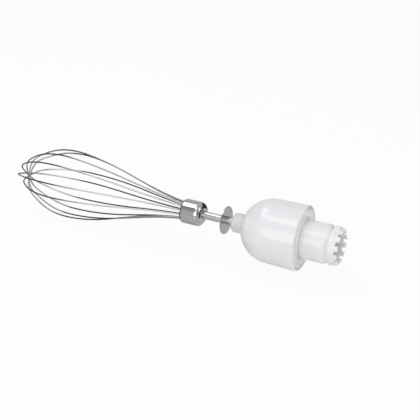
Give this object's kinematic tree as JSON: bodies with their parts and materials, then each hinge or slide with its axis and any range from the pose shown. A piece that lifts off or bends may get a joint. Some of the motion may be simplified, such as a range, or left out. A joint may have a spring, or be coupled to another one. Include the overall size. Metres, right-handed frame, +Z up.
{
  "type": "immersion blender whisk attachment",
  "caption": "Whisk attachment for a hand blender: wire balloon on a pull-out shaft, turned by planetary gears inside a bell-shaped shroud with a toothed bayonet neck.",
  "frame": {"origin": "on the axis of the neck, in the plane of the shroud's rim, 1 mm behind the root of the neck's bare cylinder", "axes": "+X along the axis out of the neck towards the blender, +Z up as it lies in the picture; the whisk points to -X"},
  "size_m": [0.2802, 0.0567, 0.054],
  "materials": {
    "shroud_plastic": "gloss moulded, cool white",
    "neck_plastic": "satin moulded, cool white",
    "collar_plastic": "matte natural acetal",
    "gear_plastic": "matte natural acetal",
    "socket_plastic": "matte filled nylon",
    "turned_steel": "fine turned, bright",
    "spring_steel": "oiled spring steel",
    "disc_steel": "satin pressed stainless",
    "ferrule_steel": "polished stainless",
    "wire_steel": "drawn stainless wire",
    "bush_bronze": "sintered bronze",
    "seal_rubber": "matte black nitrile",
    "plug_plastic": "matte cast plug"
  },
  "bodies": {
    "housing": {"shroud": "shroud_plastic", "neck": "neck_plastic", "mouth_cover": "shroud_plastic", "ring_gear": "gear_plastic", "nose_bush": "bush_bronze", "nose_seal": "seal_rubber", "thrust_washer": "turned_steel", "case_screw_1": "turned_steel", "case_screw_2": "turned_steel", "case_screw_3": "turned_steel", "shaft_bush_1": "bush_bronze", "shaft_bush_2": "bush_bronze"},
    "input": {"drive_socket": "socket_plastic", "drive_shaft": "turned_steel", "sun_gear": "gear_plastic", "shaft_clip": "spring_steel"},
    "output": {"carrier": "gear_plastic", "carrier_plate": "gear_plastic", "planet_pin_1": "turned_steel", "planet_pin_2": "turned_steel", "planet_pin_3": "turned_steel", "output_collar": "collar_plastic"},
    "planet_1": {"planet_gear_1": "gear_plastic"},
    "planet_2": {"planet_gear_2": "gear_plastic"},
    "planet_3": {"planet_gear_3": "gear_plastic"},
    "whisk": {"whisk_shaft": "turned_steel", "detent_ring": "spring_steel", "splash_disc": "disc_steel", "ferrule": "ferrule_steel", "wire_plug": "plug_plastic", "wire_loop_1": "wire_steel", "wire_loop_2": "wire_steel", "wire_loop_3": "wire_steel", "wire_loop_4": "wire_steel", "wire_loop_5": "wire_steel", "wire_loop_6": "wire_steel"}
  },
  "joints": [
    {"name": "output_spin", "type": "hinge", "parent": "housing", "child": "output", "pos_m": [-0.041, 0, 0], "axis": [1, 0, 0], "continuous": true},
    {"name": "input_spin", "type": "hinge", "parent": "housing", "child": "input", "pos_m": [0, 0, 0], "axis": [1, 0, 0], "continuous": true},
    {"name": "planet_1_spin", "type": "hinge", "parent": "output", "child": "planet_1", "pos_m": [-0.0284, 0, 0.009], "axis": [1, 0, 0], "continuous": true},
    {"name": "planet_2_spin", "type": "hinge", "parent": "output", "child": "planet_2", "pos_m": [-0.0284, -0.00779, -0.0045], "axis": [1, 0, 0], "continuous": true},
    {"name": "planet_3_spin", "type": "hinge", "parent": "output", "child": "planet_3", "pos_m": [-0.0284, 0.00779, -0.0045], "axis": [1, 0, 0], "continuous": true},
    {"name": "whisk_release", "type": "slide", "parent": "output", "child": "whisk", "axis": [-1, 0, 0], "range_m": [0, 0.0205]}
  ],
  "couplings": [
    {"joint": "input_spin", "follows": "output_spin", "ratio": 5},
    {"joint": "planet_1_spin", "follows": "output_spin", "ratio": -2.6667},
    {"joint": "planet_2_spin", "follows": "output_spin", "ratio": -2.6667},
    {"joint": "planet_3_spin", "follows": "output_spin", "ratio": -2.6667}
  ]
}
